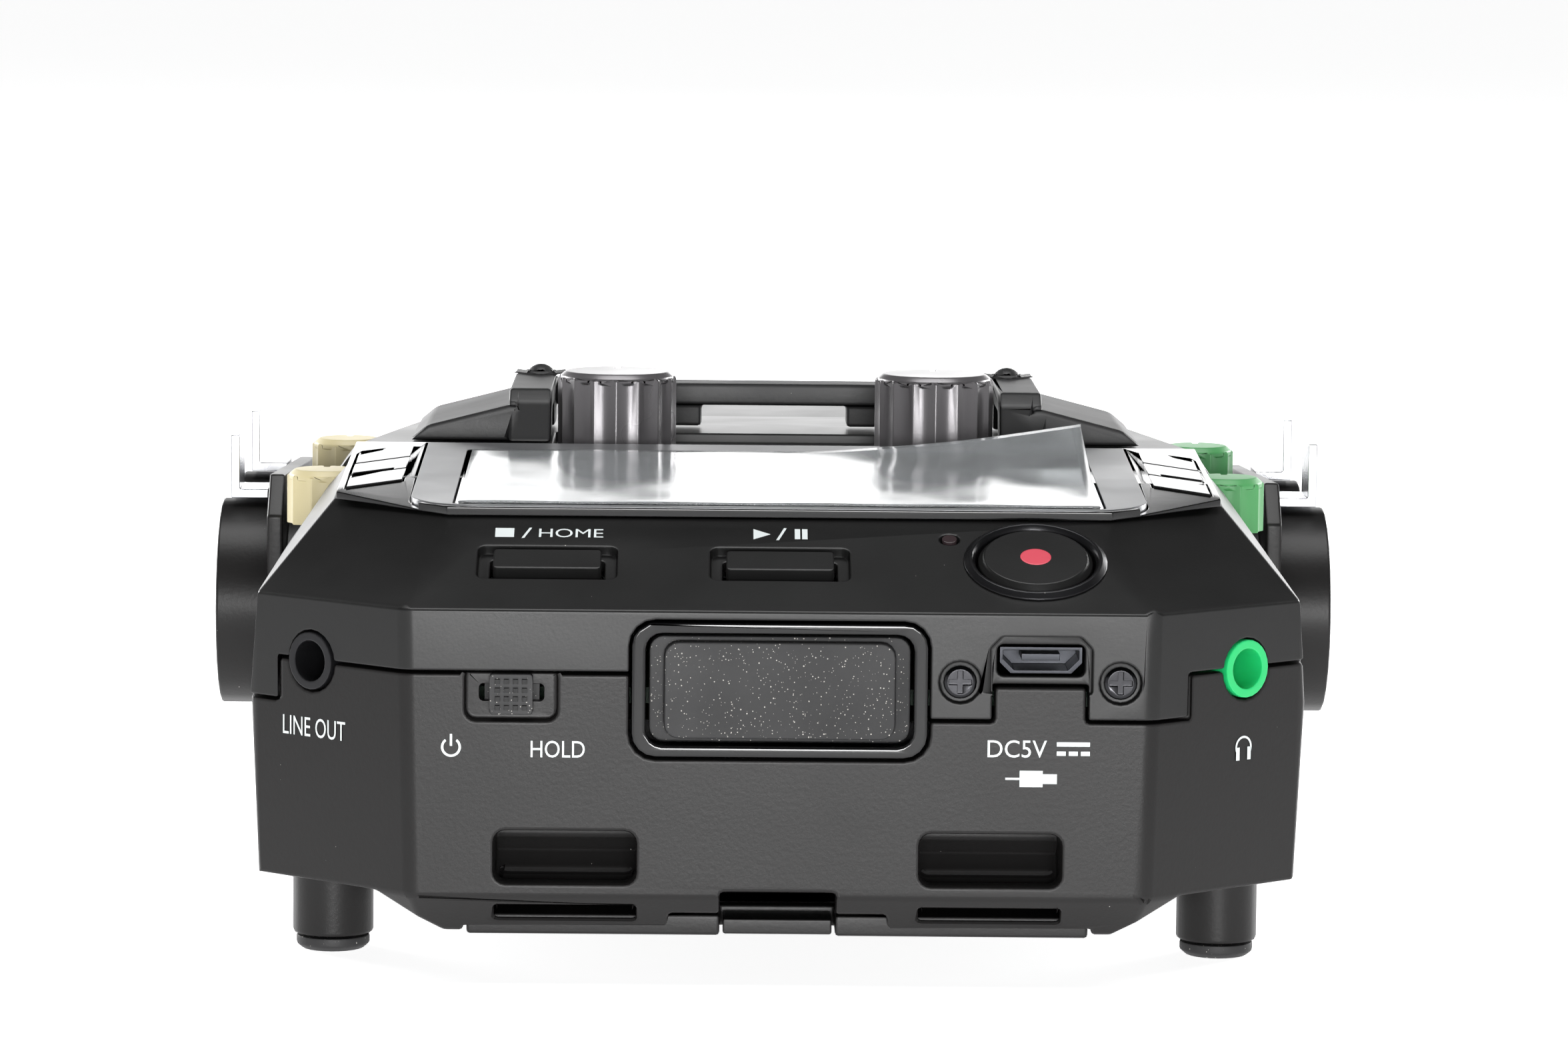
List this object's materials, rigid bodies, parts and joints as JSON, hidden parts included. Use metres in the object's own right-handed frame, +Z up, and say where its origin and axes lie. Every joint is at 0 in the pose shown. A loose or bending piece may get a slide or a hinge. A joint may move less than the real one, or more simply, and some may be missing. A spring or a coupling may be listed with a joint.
{
  "type": "portable multitrack audio recorder",
  "caption": "Hand-held digital audio recorder with a sloping transport panel, raised screen plate, side microphone inputs, input knobs under a guard bar and a battery bay.",
  "frame": {"origin": "on the surface under the middle of the object's box, where the rubber feet stand", "axes": "+Z up; -Y is the user's end with the transport keys and ports; +Y is the microphone end; +X is the user's right"},
  "size_m": [0.1124, 0.1636, 0.0513],
  "materials": {
    "casing": "fine moulded texture",
    "panel": "satin moulded",
    "gloss": "high gloss",
    "silver": "satin silver-grey film",
    "glass": "polished",
    "black_steel": "satin black",
    "rubber": "matt",
    "steel": "bright nickel plate",
    "jack_green": "satin",
    "cream": "satin",
    "green": "satin",
    "board": "solder mask",
    "inside": "plain moulded",
    "lamp": "clear smoked",
    "brass": "machined",
    "cell_wrap": "sleeve over a steel can, no print"
  },
  "bodies": {
    "chassis": {"lower_shell": "casing", "xlr_frame_left": "casing", "xlr_frame_right": "casing", "upper_shell": "panel", "guard_bar": "panel", "screen_bezel": "gloss", "remote_frame": "gloss", "screen_frame": "silver", "screen_glass": "glass", "rec_ring": "black_steel", "line_out_jack": "black_steel", "port_screw_1": "black_steel", "port_screw_2": "black_steel", "foot_1": "rubber", "foot_2": "rubber", "foot_3": "rubber", "foot_4": "rubber", "usb_receptacle": "steel", "phone_jack": "jack_green", "main_board": "board", "lcd_module": "inside", "remote_socket": "inside", "battery_tray": "inside", "pot_board": "inside", "capsule_socket": "inside", "xlr_insert_a": "inside", "xlr_insert_b": "inside", "xlr_insert_c": "inside", "xlr_insert_d": "inside", "status_lamp": "lamp", "tripod_nut": "brass", "battery_1": "cell_wrap", "battery_2": "cell_wrap", "battery_3": "cell_wrap", "battery_4": "cell_wrap"},
    "stop_key": {"stop_key": "panel"},
    "play_key": {"play_key": "panel"},
    "rec_key": {"rec_key": "panel"},
    "track_key_left_1": {"track_key_left_1": "gloss"},
    "track_key_left_2": {"track_key_left_2": "gloss"},
    "track_key_left_3": {"track_key_left_3": "gloss"},
    "track_key_right_1": {"track_key_right_1": "gloss"},
    "track_key_right_2": {"track_key_right_2": "gloss"},
    "track_key_right_3": {"track_key_right_3": "gloss"},
    "hold_switch": {"hold_switch": "rubber"},
    "remote_cover": {"remote_cover": "rubber"},
    "battery_door": {"battery_door": "casing"},
    "door_latch": {"door_latch": "casing"},
    "capsule_cover": {"capsule_cover": "rubber"},
    "card_door": {"card_door": "casing"},
    "input_knob_1": {"input_knob_1": "gloss"},
    "input_knob_2": {"input_knob_2": "gloss"},
    "track_knob_a": {"track_knob_a": "cream"},
    "track_knob_b": {"track_knob_b": "cream"},
    "track_knob_c": {"track_knob_c": "green"},
    "track_knob_d": {"track_knob_d": "green"},
    "xlr_latch_a": {"xlr_latch_a": "steel"},
    "xlr_latch_b": {"xlr_latch_b": "steel"},
    "xlr_latch_c": {"xlr_latch_c": "steel"},
    "xlr_latch_d": {"xlr_latch_d": "steel"}
  },
  "joints": [
    {"name": "stop_key_press", "type": "slide", "parent": "chassis", "child": "stop_key", "axis": [0, 0.4195, -0.9078], "range_m": [0, 0.0006], "stiffness_N_per_m": 300},
    {"name": "play_key_press", "type": "slide", "parent": "chassis", "child": "play_key", "axis": [0, 0.4195, -0.9078], "range_m": [0, 0.0006], "stiffness_N_per_m": 300},
    {"name": "rec_key_press", "type": "slide", "parent": "chassis", "child": "rec_key", "axis": [0, 0.4195, -0.9078], "range_m": [0, 0.0006], "stiffness_N_per_m": 300},
    {"name": "track_key_left_1_press", "type": "slide", "parent": "chassis", "child": "track_key_left_1", "axis": [0, 0.0523, -0.9986], "range_m": [0, 0.0004], "stiffness_N_per_m": 300},
    {"name": "track_key_left_2_press", "type": "slide", "parent": "chassis", "child": "track_key_left_2", "axis": [0, 0.0523, -0.9986], "range_m": [0, 0.0004], "stiffness_N_per_m": 300},
    {"name": "track_key_left_3_press", "type": "slide", "parent": "chassis", "child": "track_key_left_3", "axis": [0, 0.0523, -0.9986], "range_m": [0, 0.0004], "stiffness_N_per_m": 300},
    {"name": "track_key_right_1_press", "type": "slide", "parent": "chassis", "child": "track_key_right_1", "axis": [0, 0.0523, -0.9986], "range_m": [0, 0.0004], "stiffness_N_per_m": 300},
    {"name": "track_key_right_2_press", "type": "slide", "parent": "chassis", "child": "track_key_right_2", "axis": [0, 0.0523, -0.9986], "range_m": [0, 0.0004], "stiffness_N_per_m": 300},
    {"name": "track_key_right_3_press", "type": "slide", "parent": "chassis", "child": "track_key_right_3", "axis": [0, 0.0523, -0.9986], "range_m": [0, 0.0004], "stiffness_N_per_m": 300},
    {"name": "hold_slide", "type": "slide", "parent": "chassis", "child": "hold_switch", "axis": [1, 0, 0], "range_m": [-0.0021, 0.0021]},
    {"name": "remote_cover_pull", "type": "slide", "parent": "chassis", "child": "remote_cover", "axis": [0, -1, 0], "range_m": [0, 0.008]},
    {"name": "battery_door_hinge", "type": "hinge", "parent": "chassis", "child": "battery_door", "pos_m": [0, -0.0155, 0.0045], "axis": [1, 0, 0], "range_deg": [0, 80]},
    {"name": "door_latch_press", "type": "slide", "parent": "battery_door", "child": "door_latch", "axis": [0, 0, 1], "range_m": [0, 0.0005], "stiffness_N_per_m": 300},
    {"name": "capsule_cover_pull", "type": "slide", "parent": "chassis", "child": "capsule_cover", "axis": [0, 1, 0], "range_m": [0, 0.012]},
    {"name": "card_door_hinge", "type": "hinge", "parent": "chassis", "child": "card_door", "pos_m": [-0.04835, -0.0445, 0.0113], "axis": [0, -1, 0], "range_deg": [0, 100]},
    {"name": "input_knob_1_turn", "type": "hinge", "parent": "chassis", "child": "input_knob_1", "pos_m": [-0.016, -0.0175, 0.047], "axis": [0, 0, -1], "range_deg": [-140, 140]},
    {"name": "input_knob_2_turn", "type": "hinge", "parent": "chassis", "child": "input_knob_2", "pos_m": [0.016, -0.0175, 0.047], "axis": [0, 0, -1], "range_deg": [-140, 140]},
    {"name": "track_knob_a_turn", "type": "hinge", "parent": "chassis", "child": "track_knob_a", "pos_m": [-0.0446, -0.0305, 0.04], "axis": [0, 0, -1], "range_deg": [-140, 140]},
    {"name": "track_knob_b_turn", "type": "hinge", "parent": "chassis", "child": "track_knob_b", "pos_m": [-0.0443, 0.002, 0.04], "axis": [0, 0, -1], "range_deg": [-140, 140]},
    {"name": "track_knob_c_turn", "type": "hinge", "parent": "chassis", "child": "track_knob_c", "pos_m": [0.0446, -0.0305, 0.04], "axis": [0, 0, -1], "range_deg": [-140, 140]},
    {"name": "track_knob_d_turn", "type": "hinge", "parent": "chassis", "child": "track_knob_d", "pos_m": [0.0443, 0.002, 0.04], "axis": [0, 0, -1], "range_deg": [-140, 140]},
    {"name": "xlr_latch_a_press", "type": "hinge", "parent": "chassis", "child": "xlr_latch_a", "pos_m": [-0.0516, -0.0115, 0.0374], "axis": [0, 1, 0], "range_deg": [0, 8], "stiffness_Nm_per_rad": 0.02},
    {"name": "xlr_latch_b_press", "type": "hinge", "parent": "chassis", "child": "xlr_latch_b", "pos_m": [-0.0516, 0.0155, 0.0374], "axis": [0, 1, 0], "range_deg": [0, 8], "stiffness_Nm_per_rad": 0.02},
    {"name": "xlr_latch_c_press", "type": "hinge", "parent": "chassis", "child": "xlr_latch_c", "pos_m": [0.0516, -0.0115, 0.0374], "axis": [0, -1, 0], "range_deg": [0, 8], "stiffness_Nm_per_rad": 0.02},
    {"name": "xlr_latch_d_press", "type": "hinge", "parent": "chassis", "child": "xlr_latch_d", "pos_m": [0.0516, 0.0155, 0.0374], "axis": [0, -1, 0], "range_deg": [0, 8], "stiffness_Nm_per_rad": 0.02}
  ]
}
